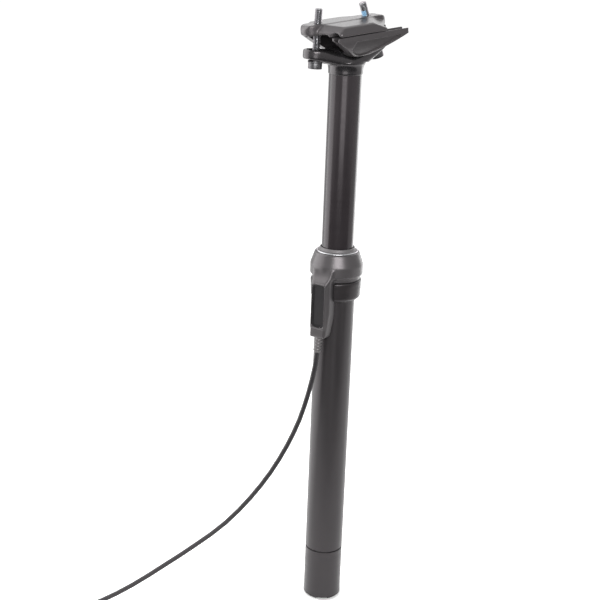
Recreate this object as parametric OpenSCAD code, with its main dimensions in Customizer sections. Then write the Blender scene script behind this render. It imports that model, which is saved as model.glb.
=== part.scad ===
// Dropper seatpost with a collar-mounted cable release, in millimetres.
// The lower tube stands on its end cap at z = 0 and the post rises along +Z.
// +X points to the rear of the bicycle, -X to the front and -Y to the rider's left.

/* [Tubes] */
// Outside diameter of the lower tube, which the frame clamps
outer_od = 30.9; // [30:0.1:33.9]
// Wall of the lower tube
outer_wall = 2.15; // [2.05:0.05:2.3]
// Outside diameter of the sliding post
post_od = 25; // [24:0.1:25.4]
// Wall of the sliding post
post_wall = 1.3; // [1:0.1:1.6]
// Drop of the saddle
travel = 125; // [75:5:150]
// Length of post that stays inside the lower tube when it is up
insert_len = 116.5; // [100:0.5:150]
// Length of post between the wiper and the head when it is fully down
post_spare = 9; // [8:0.5:20]

/* [End cap] */
// Height of the end cap
cap_h = 44.1; // [40:0.1:60]
// Wall of the end cap
cap_wall = 1.2; // [1:0.1:1.4]
// Thickness of the end cap's floor
cap_floor = 5; // [4:0.5:8]
// Bevel round the end cap's lower rim
cap_bevel = 1.8; // [1:0.1:2.4]
// Width of the tool slots in the end cap's rim
tool_slot_w = 9; // [6:0.5:12]
// Depth of the tool slots
tool_slot_h = 2; // [1:0.1:3]
// Open seam between the end cap and the lower tube
seam_gap = 1; // [0.6:0.1:2]

/* [Collar] */
// Largest outside diameter of the upper collar
collar_od = 41.8; // [40:0.1:46]
// Outside diameter at the mouth of the upper collar
mouth_od = 35.4; // [34.4:0.1:37]
// Height of the upper collar
upper_collar_h = 18.5; // [17:0.5:24]
// Height of the recessed band between the two collars
collar_band_h = 3.5; // [2:0.1:5]
// Height of the lower collar
lower_collar_h = 15.5; // [12:0.5:24]
// Outside diameter of the lower collar
lower_collar_od = 40.4; // [39:0.1:41.8]
// Turn of the release housing from the rear of the bicycle, in degrees
housing_turn = 207; // [180:1:230]
// Width of the release housing
housing_w = 16.6; // [15:0.2:20]
// Distance of the release housing's face from the post's axis
housing_reach = 26; // [25:0.1:29]
// Height of the release housing below the upper collar's edge
housing_drop = 48; // [44:0.5:60]
// Width of the cover in the housing's face
cover_w = 11; // [9:0.2:11.4]
// Height of the cover in the housing's face
cover_h = 34; // [28:0.5:34]

/* [Release] */
// Distance of the release cable behind the housing's face
cable_room = 4.6; // [4:0.1:5]
// Diameter of the lever's pivot pin
pivot_pin_d = 2; // [1.6:0.1:2.2]
// Width of the lever
lever_w = 3.2; // [2.6:0.1:3.6]
// Slope of the lever at rest, in degrees
lever_slope = 14; // [8:1:16]
// Diameter of the link wire down to the base
link_wire_d = 0.7; // [0.5:0.1:0.8]
// Diameter of the release cable's inner wire
inner_wire_d = 1.6; // [1.2:0.1:1.8]
// Length of the ribbed boot under the housing
boot_len = 12.5; // [12:0.5:20]
// Lean of the boot, in degrees
boot_lean = 6; // [0:1:8]

/* [Gas spring] */
// Outside diameter of the cartridge
cartridge_od = 20; // [19.4:0.1:21]
// Bore of the cartridge
cartridge_bore = 17.5; // [17:0.1:18]
// Diameter of the piston rod
rod_d = 8; // [7:0.1:9]
// Diameter of the valve pin in the rod
valve_pin_d = 2.4; // [2:0.1:3]

/* [Saddle clamp] */
// Diameter of a saddle rail
rail_d = 7; // [6.8:0.1:8]
// Distance between the two saddle rails
rail_spacing = 44; // [42:0.5:46]
// Height of the rails' centres above the post's upper end
rail_rise = 35.5; // [34:0.5:39]
// Slope of the rails against the plane square to the post, in degrees
clamp_pitch = 7; // [3:0.5:12]
// Radius of the rocking seat under the cradle
seat_r = 18; // [17:0.5:19]
// Thread diameter of the clamp bolts
bolt_d = 6; // [5:0.5:6.5]
// Diameter of the bolt heads
bolt_head_d = 10.4; // [9.5:0.1:11]
// Height of the bolt heads
bolt_head_h = 4.5; // [3:0.1:5]
// Diameter of the rocking washers
washer_d = 11.2; // [10:0.1:12.5]
// Thickness of the ears on the head
ear_t = 7.5; // [6:0.5:9]
// Largest tilt of the clamp from its middle, in degrees
tilt_range = 8; // [4:1:8]

/* [Release cable] */
// Outside diameter of the cable's casing
cable_d = 4; // [3.6:0.1:4.6]
// Turns of the cable's coil, an even share in each of the two layers
coil_turns = 7; // [5:1:8]
// Space between neighbouring turns of the coil
coil_gap = 0.5; // [0.45:0.05:0.8]

/* [Hidden] */

$fn = 64;
cut = 1;
slide_fit = 0.05;
free_gap = 0.3;

black_gloss = [0.07, 0.07, 0.075];
black_satin = [0.12, 0.12, 0.125];
grey_dark = [0.2, 0.2, 0.21];
steel = [0.6, 0.6, 0.62];
brass = [0.75, 0.6, 0.3];
rubber = [0.05, 0.05, 0.05];

// Radii across the tubes
outer_r = outer_od / 2;
bore_r = outer_r - outer_wall;
post_r = post_od / 2;
post_bore_r = post_r - post_wall;
rod_r = rod_d / 2;
cart_r = cartridge_od / 2;
cart_bore_r = cartridge_bore / 2;

// Heights from the base up to the collar
tube_z0 = cap_h + seam_gap;
plug_in_tube = 13;
plug_in_cap = 10;
plug_top = tube_z0 + plug_in_tube;
plug_z0 = cap_h - plug_in_cap;
bumper_h = 2.5;
stop_gap = 0.4;
post_z0 = plug_top + bumper_h + stop_gap + travel;
collar_top = post_z0 + insert_len;
mouth_depth = 8;
tube_z1 = collar_top - mouth_depth;
upper_collar_z = collar_top - upper_collar_h;
band_z = upper_collar_z - collar_band_h;
lower_collar_z = band_z - lower_collar_h;
wiper_top = collar_top + 3.5;
ring_seat_z = collar_top - 0.5;
neck_z = collar_top + travel + post_spare;
rail_z = neck_z + rail_rise;

// Anti-turn keys and their grooves
key_w = 3;
key_h = 14;
key_rise = 22;
key_inner_r = post_r - 0.6;
key_outer_r = bore_r + 0.85;
key_groove_r = key_outer_r + slide_fit * 2;
key_turns = [60, 180, 300];

// Link wire from the collar lever to the base rocker
link_reach = bore_r + 0.45;
link_groove_w = 1.7;
link_groove_r = bore_r + 1.2;
cable_reach = housing_reach - cable_room;
pivot_reach = (4 * outer_r + 3 * cable_reach) / 7;
pivot_z = lower_collar_z - 3;
lever_hub_r = 1.7;
lever_arm_t = 1.6;
window_up = 4.6;
window_down = 3.4;
window_w = lever_w + 1.2;

// Base rocker under the rod
rocker_drop = 10.1;
rocker_z = plug_z0 - rocker_drop;
rocker_pivot = -9.5;
rocker_t = 3.6;
rocker_w = 4.8;
rocker_pin_d = 2.4;
lug_t = 2.6;

// Gas spring
flange_h = 4;
seal_head_h = 14;
cart_z0 = post_z0 + flange_h;
seal_head_top = cart_z0 + seal_head_h;
top_out_h = 2;
piston_z = seal_head_top + top_out_h + free_gap;
piston_h = 8;
ring_h = 2;
ring_depth = 1.2;
float_gap = 3;
float_z = piston_z + piston_h + travel + float_gap;
float_h = 8;
float_travel = travel * pow(rod_r / cart_bore_r, 2);
gas_space = 12;
cart_cap_h = 10;
cart_z1 = float_z + float_h + float_travel + gas_space + cart_cap_h;
cart_cap_rim = 2;
cap_room = 9;
spigot_len = neck_z - cart_z1 - cart_cap_rim - cap_room;
stud_d = 8;
stud_in = 10;

// Release housing, in a frame turned so that +X looks out through the cover
housing_z0 = upper_collar_z - housing_drop;
housing_corner = 2.6;
chin_w = housing_w - 2.4;
cover_z = housing_z0 + 9.4 + cover_h / 2;
cover_recess = 1.6;
cover_t = 1.2;
cavity_w = lever_w + 2.4;
cavity_front = housing_reach - cover_recess;
cable_r = cable_d / 2;
boot_r = cable_r + 0.7;
socket_r = boot_r;
boot_z = housing_z0 + 2.2;

// Step in the lower tube: the collars sit on a slightly smaller diameter than the frame clamps
insert_z1 = housing_z0 - 1;
collar_seat_r = outer_r - 0.5;

// Saddle clamp, in a frame tilted with the rails about the rocking axis
rail_r = rail_d / 2 + 0.05;
rail_y = rail_spacing / 2;
parting = 0.4;
cradle_out = rail_y + 4.6;
cradle_front = -24;
cradle_tail = 37;
tail_t = 4;
clamp_front = -39;
clamp_rear = 32.5;
ridge_z = 9.2;
bar_w = 16;
bar_t = 8;
hood_out = rail_y + 5.2;
head_half = 12;
front_bolt_x = -25;
rear_bolt_x = 17.1;
front_splay = 9;
rear_splay = 14.5;
bolt_grip = 26.4;
bolt_out = 10.6;
washer_r = 12;
washer_t = 2;
washer_gap = 0.45;
ear_r = 9.8;
ear_slot = bolt_d / 2 + 1.5 * free_gap + (bolt_grip - 4.5) * tan(tilt_range);

// Release cable: hand-chosen points of the free run, out from the boot's end and up from the floor
cable_turn = 160;
run_points = [
    [1, 212], [3, 200.5], [5.5, 189], [8.5, 177.5], [12, 166], [16.5, 154.5], [21.5, 143.5],
    [27.5, 132], [34, 121], [41.5, 110], [50, 99], [59.5, 88], [70, 77.5], [81.5, 68], [94, 59],
    [107, 50], [120, 41.5], [133, 33], [146, 25], [159, 18], [172, 12], [185, 7.5], [198, 4.5],
    [209, 3.2]
];
run_end = 220;
run_dir = [cos(cable_turn), sin(cable_turn), 0];
run_side = [-sin(cable_turn), cos(cable_turn), 0];
boot_root = [cable_reach * cos(housing_turn), cable_reach * sin(housing_turn), boot_z];
boot_down = boot_len + boot_z - housing_z0;
boot_end = boot_root + boot_down * (sin(boot_lean) * run_dir - [0, 0, cos(boot_lean)]);
boot_foot = [boot_end[0], boot_end[1], 0];

// Stored coil: two flat layers, in along the floor and out again on top
coil_pitch = cable_d + coil_gap;
coil_out = 32;
layer_turns = coil_turns / 2;
coil_in = coil_out - coil_pitch * layer_turns;
coil_lead = 6;
tie_t = 0.6;
coil_z = cable_r + tie_t + 0.2;
coil_start = boot_foot + run_end * run_dir + [0, 0, coil_z];
coil_centre = coil_start + coil_lead * run_dir + coil_out * run_side;
coil_angle = cable_turn - 90;
coil_steps = 24;

function arc(cx, cy, r, a0, a1, n = 10) =
    [for (i = [0:n]) let (a = a0 + (a1 - a0) * i / n) [cx + r * cos(a), cy + r * sin(a)]];

// Closed tube of flat facets along a list of points; ref is never parallel to the path
function unit(v) = v / norm(v);
function heading(p, i) = unit(p[min(i + 1, len(p) - 1)] - p[max(i - 1, 0)]);
function ring_at(p, i, r, sides, ref) =
    let (t = heading(p, i), n = unit(ref - (ref * t) * t), b = cross(t, n))
    [for (k = [0:sides - 1]) p[i] + r * (cos(360 * k / sides) * n + sin(360 * k / sides) * b)];

module tube_along(p, r, sides, ref) {
    last = len(p) - 1;
    corners = [for (i = [0:last]) each ring_at(p, i, r, sides, ref)];
    walls = [for (i = [0:last - 1], k = [0:sides - 1])
        let (a = i * sides + k, b = i * sides + (k + 1) % sides)
        each [[a, a + sides, b], [b, a + sides, b + sides]]];
    start_fan = [for (k = [1:sides - 2]) [0, k, k + 1]];
    end_fan = [for (k = [1:sides - 2]) [last * sides, last * sides + k + 1, last * sides + k]];
    polyhedron(corners, concat(walls, start_fan, end_fan));
}

// Square ring between two radii
module ring(r_out, r_in, h) {
    difference() {
        cylinder(r = r_out, h = h);
        translate([0, 0, -cut]) cylinder(r = r_in, h = h + 2 * cut);
    }
}

module at_housing() {
    rotate([0, 0, housing_turn]) children();
}

module at_clamp() {
    translate([0, 0, rail_z]) rotate([0, -clamp_pitch, 0]) children();
}

module at_front_bolt() {
    at_clamp() translate([front_bolt_x, 0, ridge_z]) rotate([0, front_splay, 0]) children();
}

module at_rear_bolt() {
    at_clamp() translate([rear_bolt_x, 0, ridge_z]) rotate([0, -rear_splay, 0]) children();
}

// Lower tube with key grooves, link-wire groove and lever window
module outer_tube() {
    tube_h = tube_z1 - tube_z0;
    groove_h = pivot_z - tube_z0;
    color(black_satin) difference() {
        union() {
            translate([0, 0, tube_z0]) ring(outer_r, bore_r, insert_z1 - tube_z0);
            translate([0, 0, tube_z0]) ring(collar_seat_r, bore_r, tube_h);
        }
        for (turn = key_turns)
            rotate([0, 0, housing_turn + turn])
                translate([post_r, -key_w / 2 - slide_fit, tube_z0 - cut])
                    cube([key_groove_r - post_r, key_w + 2 * slide_fit, groove_h]);
        at_housing() {
            translate([post_r, -link_groove_w / 2, tube_z0 - cut])
                cube([link_groove_r - post_r, link_groove_w, groove_h + window_up]);
            translate([post_r, -window_w / 2, pivot_z - window_down])
                cube([outer_r, window_w, window_up + window_down]);
        }
    }
}

// Turned cap with a bevelled rim and tool slots
module end_cap() {
    cap_bore = outer_r - cap_wall;
    color(black_satin) difference() {
        rotate_extrude() polygon([
            [0, 0], [outer_r - cap_bevel, 0], [outer_r, cap_bevel], [outer_r, cap_h],
            [bore_r, cap_h], [bore_r, plug_z0], [cap_bore, plug_z0 - 1], [cap_bore, cap_floor],
            [0, cap_floor]
        ]);
        for (side = [0, 180])
            rotate([0, 0, housing_turn + 33 + side])
                translate([outer_r - 3.6, -tool_slot_w / 2, -cut])
                    cube([outer_r, tool_slot_w, tool_slot_h + cut]);
        at_housing() translate([post_r, -link_groove_w / 2, rocker_z - 5])
            cube([link_groove_r - post_r, link_groove_w, cap_h]);
    }
}

// Plug that joins the cap to the tube, carries the rod and hangs the rocker
module base_plug() {
    lug_y = rocker_w / 2 + free_gap;
    color(grey_dark) difference() {
        union() {
            translate([0, 0, plug_z0]) cylinder(r = bore_r, h = plug_top - plug_z0);
            translate([0, 0, cap_h]) cylinder(r = outer_r - 0.8, h = seam_gap);
            at_housing() for (side = [0, 1]) mirror([0, side, 0])
                translate([rocker_pivot - rocker_pin_d, lug_y, rocker_z - 3])
                    cube([2 * rocker_pin_d, lug_t, plug_z0 - rocker_z + 3 + cut]);
        }
        translate([0, 0, plug_z0 - cut]) cylinder(r = rod_r, h = plug_top);
        at_housing() {
            translate([post_r, -link_groove_w / 2, 0])
                cube([outer_r, link_groove_w, plug_top + cut]);
            translate([rocker_pivot, 0, rocker_z]) rotate([90, 0, 0])
                cylinder(d = rocker_pin_d, h = outer_r, center = true);
        }
    }
}

// Nut that holds the rod in the plug
module rod_nut() {
    nut_h = 4;
    color(steel) translate([0, 0, plug_z0 - nut_h]) difference() {
        cylinder(d = rod_d + 5, h = nut_h, $fn = 6);
        translate([0, 0, -cut]) cylinder(r = rod_r, h = nut_h + 2 * cut);
    }
}

// Hollow rod that stands on the plug
module piston_rod() {
    rod_z0 = plug_z0 - 5;
    color(steel) difference() {
        translate([0, 0, rod_z0]) cylinder(r = rod_r, h = piston_z + piston_h - 2 - rod_z0);
        translate([0, 0, rod_z0 - cut])
            cylinder(d = valve_pin_d + 2 * slide_fit, h = piston_z + piston_h);
    }
}

// Piston on the rod's upper end, with a groove for its ring
module piston() {
    piston_r = cart_bore_r - slide_fit;
    color(brass) translate([0, 0, piston_z]) difference() {
        cylinder(r = piston_r, h = piston_h);
        translate([0, 0, -cut]) cylinder(r = rod_r, h = piston_h - 2 + cut);
        cylinder(d = valve_pin_d + 2 * slide_fit, h = piston_h + cut);
        translate([0, 0, (piston_h - ring_h) / 2]) ring(piston_r + cut, piston_r - ring_depth, ring_h);
        for (turn = [0:60:300])
            rotate([0, 0, turn]) translate([5.8, 0, -cut]) cylinder(d = 1.4, h = piston_h + 2 * cut);
    }
}

module piston_ring() {
    color(rubber) translate([0, 0, piston_z + (piston_h - ring_h) / 2])
        ring(cart_bore_r - slide_fit, cart_bore_r - slide_fit - ring_depth, ring_h);
}

// Rubber stop on the plug for the end of the drop
module bottom_bumper() {
    color(rubber) translate([0, 0, plug_top]) ring(post_r, rod_r + 2, bumper_h);
}

// Moulded side profile of the release housing: chin, face and the sweep up over the collar
module housing_side() {
    back = outer_r - 1.4;
    chin_back = cable_reach - socket_r - 1.2;
    crest_z = upper_collar_z - 4.5;
    crest_r = 4;
    bend = 50;
    crest_x = housing_reach - crest_r * (1 - cos(bend));
    sweep_r = (crest_x - collar_od / 2 + 0.3) / (1 - cos(bend));
    sweep_z = crest_z + (crest_r + sweep_r) * sin(bend);
    polygon(concat(
        [[back, housing_z0 + 15], [chin_back, housing_z0]],
        arc(housing_reach - 2, housing_z0 + 2, 2, -90, 0, 6),
        arc(housing_reach - crest_r, crest_z, crest_r, 0, bend, 5),
        arc(crest_x + sweep_r * cos(bend), sweep_z, sweep_r, 180 + bend - 5, 180, 6),
        [[back, sweep_z]]
    ));
}

// Front outline of the housing: narrower at the chin, flared into the collar at the top
module housing_front() {
    half = housing_w / 2;
    chin = chin_w / 2;
    flare_r = 10;
    flare_z = upper_collar_z - 4;
    flare = arc(half + flare_r, flare_z, flare_r, 120, 180, 6);
    side = concat(
        [[flare[0][0], collar_top]], flare, [[half, housing_z0 + 20]],
        arc(chin - housing_corner, housing_z0 + housing_corner, housing_corner, 0, -90, 6)
    );
    polygon(concat(side, [for (i = [len(side) - 1:-1:0]) [-side[i][0], side[i][1]]]));
}

// Plan of the housing: bevelled flanks, and shoulders that lie against the collar
module housing_plan() {
    half = housing_w / 2;
    side = [[0, half + 6.7], [outer_r, half + 6.7], [collar_od / 2 - 0.4, half], [housing_reach - 4, half],
            [housing_reach - 0.8, half - 1.7], [housing_reach, half - 2.4]];
    polygon(concat(side, [for (i = [len(side) - 1:-1:0]) [side[i][0], -side[i][1]]]));
}

module rounded_cover(w, h, t, r = 2.4) {
    rotate([90, 0, 90]) linear_extrude(t) {
        square([w - 2 * r, h], center = true);
        square([w, h - 2 * r], center = true);
        for (x = [-1, 1], y = [-1, 1])
            translate([x * (w / 2 - r), y * (h / 2 - r)]) circle(r);
    }
}

// Upper collar in one piece with the release housing
module actuator_housing() {
    collar_r = collar_od / 2;
    mouth_r = mouth_od / 2;
    mouth_bore = mouth_r - 1.2;
    band_r = collar_r - 1.9;
    crease_r = 4;
    crease_rise = 8;
    crease_turn = 20;
    cavity_z0 = housing_z0 + 8;
    cavity_h = pivot_z + 9 - cavity_z0;
    color(grey_dark) difference() {
        union() {
            rotate_extrude() polygon(concat(
                [[collar_seat_r, band_z], [band_r, band_z], [band_r, upper_collar_z]],
                arc(collar_r - 1.2, upper_collar_z + 1.2, 1.2, -90, 0, 5),
                arc(collar_r - crease_r, upper_collar_z + crease_rise, crease_r, 0, crease_turn, 4),
                [[mouth_r, collar_top - 0.6], [mouth_r - 0.6, collar_top], [mouth_bore, collar_top],
                 [mouth_bore, tube_z1], [collar_seat_r, tube_z1]]
            ));
            at_housing() intersection() {
                rotate([90, 0, 0]) linear_extrude(housing_w + 2, center = true) housing_side();
                rotate([90, 0, 90]) linear_extrude(housing_reach + 2) housing_front();
                translate([0, 0, housing_z0 - cut]) linear_extrude(collar_top) housing_plan();
            }
        }
        translate([0, 0, housing_z0 - cut]) cylinder(r = collar_seat_r, h = tube_z1 - housing_z0 + cut);
        translate([0, 0, tube_z1]) cylinder(r = mouth_bore, h = mouth_depth + cut);
        at_housing() {
            translate([cavity_front, 0, cover_z]) rounded_cover(cover_w, cover_h, cover_recess + cut);
            translate([outer_r - 3, -cavity_w / 2, cavity_z0])
                cube([cavity_front - outer_r + 3 + cut, cavity_w, cavity_h]);
            translate([pivot_reach, 0, pivot_z]) rotate([90, 0, 0])
                cylinder(d = pivot_pin_d, h = housing_w - 3, center = true);
            translate([cable_reach, 0, housing_z0 - cut]) cylinder(r = socket_r, h = boot_z - housing_z0 + cut);
            translate([cable_reach, 0, housing_z0])
                cylinder(d = inner_wire_d + 0.8, h = cavity_z0 - housing_z0 + cut);
        }
    }
}

// Moulded cover over the lever's cavity
module housing_cover() {
    lip = 0.1;
    color(rubber) at_housing() translate([cavity_front, 0, cover_z]) difference() {
        rounded_cover(cover_w - 2 * lip, cover_h - 2 * lip, cover_t);
        translate([cover_t - 0.4, 0, 0]) rounded_cover(cover_w - 2.4, cover_h - 2.4, 1, 1.4);
    }
}

// Clamp ring under the upper collar, notched round the housing, with a lip round the tube
module lower_collar() {
    ring_r = lower_collar_od / 2;
    foot_r = 3;
    lip_r = outer_r + 1;
    lip_h = 1.3;
    notch = housing_w / 2 + 0.6;
    corner = 3;
    notch_side = concat(
        [[notch, -lip_h - cut]], arc(notch + corner, lower_collar_h - corner, corner, 180, 90, 5),
        [[notch + corner, lower_collar_h + cut]]
    );
    color(black_gloss) translate([0, 0, lower_collar_z]) difference() {
        rotate_extrude() polygon(concat(
            [[collar_seat_r, -lip_h], [lip_r, -lip_h], [lip_r, 0]],
            arc(ring_r - 0.5 - foot_r, foot_r, foot_r, -80, 0, 6),
            arc(ring_r - 1.4, lower_collar_h - 1.4, 1.4, 0, 90, 5),
            [[collar_seat_r, lower_collar_h]]
        ));
        at_housing() rotate([90, 0, 90]) linear_extrude(housing_reach) polygon(concat(
            notch_side, [for (i = [len(notch_side) - 1:-1:0]) [-notch_side[i][0], notch_side[i][1]]]
        ));
    }
}

// Plain bush in the top of the lower tube
module upper_bushing() {
    bush_h = 22;
    color(brass) translate([0, 0, tube_z1 - bush_h]) ring(bore_r, post_r + slide_fit, bush_h);
}

// Oiled felt ring under the wiper
module foam_ring() {
    color(rubber) translate([0, 0, tube_z1]) ring(mouth_od / 2 - 1.2, post_r + 0.1, 2.5);
}

// Dust wiper with a sprung lip round the post
module wiper_seal() {
    flange_r = mouth_od / 2 - 1.2;
    z0 = tube_z1 + 2.5;
    inner = post_r + 0.1;
    color(rubber) rotate_extrude() polygon(concat(
        [[inner, z0], [flange_r, z0], [flange_r, ring_seat_z], [flange_r - 1.4, ring_seat_z],
         [flange_r - 1.4, ring_seat_z + 1.5], [inner + 1.7, ring_seat_z + 1.9]],
        arc(inner + 0.6, wiper_top - 0.6, 0.6, 30, 180, 5)
    ));
}

// Bright ring that keeps the wiper in the collar's mouth
module seal_retaining_ring() {
    wire_r = 0.7;
    centre = mouth_od / 2 - 1.2 - wire_r;
    color(steel) translate([0, 0, ring_seat_z + wire_r]) difference() {
        rotate_extrude() translate([centre, 0]) circle(wire_r, $fn = 24);
        rotate([0, 0, housing_turn + 180]) translate([centre, 0, 0]) cube([3, 1.6, 4], center = true);
    }
}

module lever_pivot_pin() {
    color(steel) at_housing() translate([pivot_reach, 0, pivot_z]) rotate([90, 0, 0])
        cylinder(d = pivot_pin_d, h = housing_w - 3, center = true);
}

// Rocking lever: the cable pulls the outer arm down and the inner arm lifts the link wire
module actuator_lever() {
    inner_tip = pivot_reach - link_reach + 0.55;
    outer_tip = cable_reach - pivot_reach + 1.5;
    color(steel) at_housing() translate([pivot_reach, 0, pivot_z]) rotate([0, -lever_slope, 0]) difference() {
        union() {
            rotate([90, 0, 0]) cylinder(r = lever_hub_r, h = lever_w, center = true);
            translate([-inner_tip, -lever_w / 2, -lever_arm_t / 2])
                cube([inner_tip + outer_tip, lever_w, lever_arm_t]);
        }
        rotate([90, 0, 0]) cylinder(d = pivot_pin_d + 2 * slide_fit, h = lever_w + 2 * cut, center = true);
        translate([-inner_tip - cut, -link_wire_d / 2 - free_gap, -lever_arm_t])
            cube([cut + 1.3, link_wire_d + 2 * free_gap, 2 * lever_arm_t]);
        translate([cable_reach - pivot_reach - inner_wire_d / 2 - 0.35, -inner_wire_d / 2 - free_gap, -lever_arm_t])
            cube([outer_tip, inner_wire_d + 2 * free_gap, 2 * lever_arm_t]);
    }
}

// Inner wire of the release cable with its cast nipple on the lever
module release_wire() {
    nipple_r = 1.5;
    nipple_h = 3;
    nipple_z = pivot_z + 2.4;
    wire_z0 = housing_z0 + 4.5;
    color(steel) at_housing() translate([cable_reach, 0, 0]) {
        translate([0, 0, wire_z0]) cylinder(d = inner_wire_d, h = nipple_z - wire_z0 + 0.5, $fn = 24);
        translate([0, 0, nipple_z]) cylinder(r = nipple_r, h = nipple_h, $fn = 32);
    }
}

// Coil spring that pushes the lever's outer arm back up
module lever_return_spring() {
    wire_r = 0.3;
    coil_r = 1.45;
    turns = 7;
    steps = 8;
    foot = housing_z0 + 8;
    near_edge = cable_reach - pivot_reach - coil_r - wire_r;
    hub_under = pivot_z - sqrt(max(0, pow(lever_hub_r, 2) - pow(near_edge, 2)));
    arm_under = pivot_z + near_edge * tan(lever_slope) - lever_arm_t / 2 / cos(lever_slope);
    spring_h = min(arm_under, hub_under) - free_gap - foot - 2 * wire_r;
    ring_points = [for (i = [0:turns * steps]) let (a = 360 * i / steps)
        [coil_r * cos(a), coil_r * sin(a), foot + wire_r + spring_h * i / (turns * steps)]];
    color(steel) at_housing() translate([cable_reach, 0, 0]) tube_along(ring_points, wire_r, 6, [0, 0, 1]);
}

// Straight wire down the groove of the lower tube, with a nipple at each end
module link_wire() {
    top_nipple_z = pivot_z + 0.3;
    low_nipple_z = rocker_z - rocker_t / 2 - 0.35 - 1.4;
    color(steel) at_housing() translate([link_reach, 0, 0]) {
        translate([0, 0, low_nipple_z]) cylinder(d = link_wire_d, h = top_nipple_z + 1 - low_nipple_z, $fn = 24);
        translate([0, 0, top_nipple_z]) cylinder(r = 0.6, h = 1.2, $fn = 24);
        translate([0, 0, low_nipple_z]) cylinder(r = 0.7, h = 1.4, $fn = 24);
    }
}

// Rocker that the link wire lifts, pressing the valve pin up
module base_rocker() {
    tip = link_reach + 0.1;
    tip_w = 3.2;
    heel = rocker_pivot - 2.4;
    color(steel) at_housing() translate([0, 0, rocker_z]) difference() {
        union() {
            translate([rocker_pivot, -rocker_w / 2, -rocker_t / 2])
                cube([tip - rocker_pivot, rocker_w, rocker_t]);
            translate([rocker_pivot, 0, 0]) rotate([90, 0, 0])
                cylinder(r = rocker_pivot - heel, h = rocker_w, center = true);
        }
        translate([rocker_pivot, 0, 0]) rotate([90, 0, 0])
            cylinder(d = rocker_pin_d + 2 * slide_fit, h = rocker_w + 2 * cut, center = true);
        translate([link_reach - 0.75, -link_wire_d / 2 - free_gap, -rocker_t])
            cube([3, link_wire_d + 2 * free_gap, 2 * rocker_t]);
        for (side = [0, 1]) mirror([0, side, 0])
            translate([tip - 4, tip_w / 2, -rocker_t]) cube([5, rocker_w, 2 * rocker_t]);
    }
}

module rocker_pin() {
    color(steel) at_housing() translate([rocker_pivot, 0, rocker_z]) rotate([90, 0, 0])
        cylinder(d = rocker_pin_d, h = rocker_w + 2 * (lug_t + free_gap), center = true);
}

// Pin through the rod that opens the valve in the piston
module valve_pin() {
    pin_z0 = rocker_z + rocker_t / 2 + free_gap;
    color(steel) translate([0, 0, pin_z0]) cylinder(d = valve_pin_d, h = piston_z + piston_h - 1 - pin_z0);
}

// Ribbed rubber boot where the cable enters the housing
module cable_boot() {
    rib_count = 4;
    rib_pitch = 2.6;
    rib_h = 1.4;
    first_rib = 1.2;
    waist_r = boot_r - 0.55;
    plain_z = first_rib + rib_count * rib_pitch;
    color(rubber) difference() {
        translate(boot_root) rotate([0, 0, cable_turn]) rotate([0, -boot_lean, 0]) translate([0, 0, -boot_down]) {
            cylinder(r = waist_r, h = boot_down + 1);
            for (i = [0:rib_count - 1])
                translate([0, 0, first_rib + i * rib_pitch]) cylinder(r = boot_r, h = rib_h);
            translate([0, 0, plain_z]) cylinder(r = waist_r + 0.3, h = boot_down - plain_z);
        }
        translate([0, 0, boot_z]) cylinder(r = 2 * cable_reach, h = 5);
    }
}

// Sliding post with pockets for the keys
module stanchion() {
    color(black_gloss) difference() {
        translate([0, 0, post_z0]) ring(post_r, post_bore_r, neck_z - post_z0);
        for (turn = key_turns)
            rotate([0, 0, housing_turn + turn])
                translate([key_inner_r, -key_w / 2, post_z0 + key_rise]) cube([post_r, key_w, key_h]);
    }
}

module guide_keys() {
    color(brass) for (turn = key_turns)
        rotate([0, 0, housing_turn + turn])
            translate([key_inner_r, -key_w / 2, post_z0 + key_rise])
                cube([key_outer_r - key_inner_r, key_w, key_h]);
}

module lower_bushing() {
    bush_h = 16;
    color(brass) translate([0, 0, post_z0 + 2]) ring(bore_r - slide_fit, post_r, bush_h);
}

// Long hole with round ends along X
module long_hole(r, straight, h) {
    for (side = [-1, 1]) translate([side * straight, 0, 0]) cylinder(r = r, h = h);
    translate([-straight, -r, 0]) cube([2 * straight, 2 * r, h]);
}

// Slot for a clamp bolt that rocks with the saddle, and the flat that its washer rolls on
module ear_opening() {
    slot_r = bolt_d / 2 + free_gap;
    straight = ear_slot - slot_r;
    flat_h = 14;
    translate([0, 0, -bolt_grip - cut]) long_hole(slot_r, straight, ear_t + 6);
    translate([0, 0, -bolt_grip - flat_h]) long_hole(washer_d / 2 + free_gap, straight, flat_h);
}

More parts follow.
